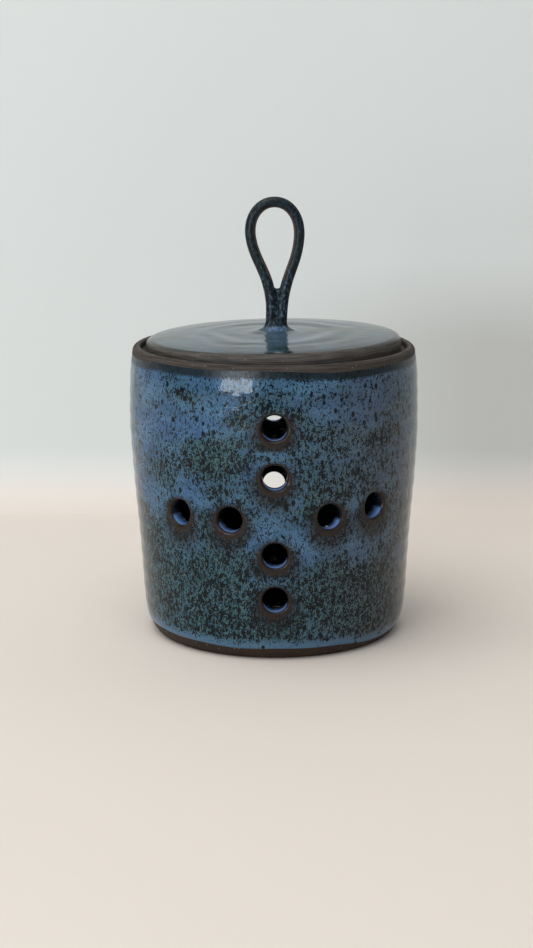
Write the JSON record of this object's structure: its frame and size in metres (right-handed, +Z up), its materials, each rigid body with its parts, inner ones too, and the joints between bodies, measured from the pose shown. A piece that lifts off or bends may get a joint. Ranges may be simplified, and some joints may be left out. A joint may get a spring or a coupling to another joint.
{
  "type": "garlic keeper",
  "caption": "Round lidded stoneware jar with a cross of vent holes front and back, a flat lid seated inside the rim and a teardrop loop handle.",
  "frame": {"origin": "centre of the foot ring, on the plane the jar stands on", "axes": "+Z up along the axis of the jar, the front cross of vent holes faces -Y, +X to the right seen from the front"},
  "size_m": [0.1206, 0.1205, 0.1824],
  "materials": {
    "jar_glaze": "gloss speckled blue glaze over dark brown stoneware, bare clay at rim and foot",
    "lid_glaze": "gloss blue-grey glaze, bare brown clay round the edge and underneath",
    "handle_glaze": "gloss dark teal glaze, brown where it thins on the edges"
  },
  "bodies": {
    "jar": {"jar": "jar_glaze"},
    "lid": {"lid": "lid_glaze", "lid_handle": "handle_glaze"}
  },
  "joints": [
    {"name": "lid_lift", "type": "slide", "parent": "jar", "child": "lid", "axis": [0, 0, 1], "range_m": [0, 0.08]}
  ]
}
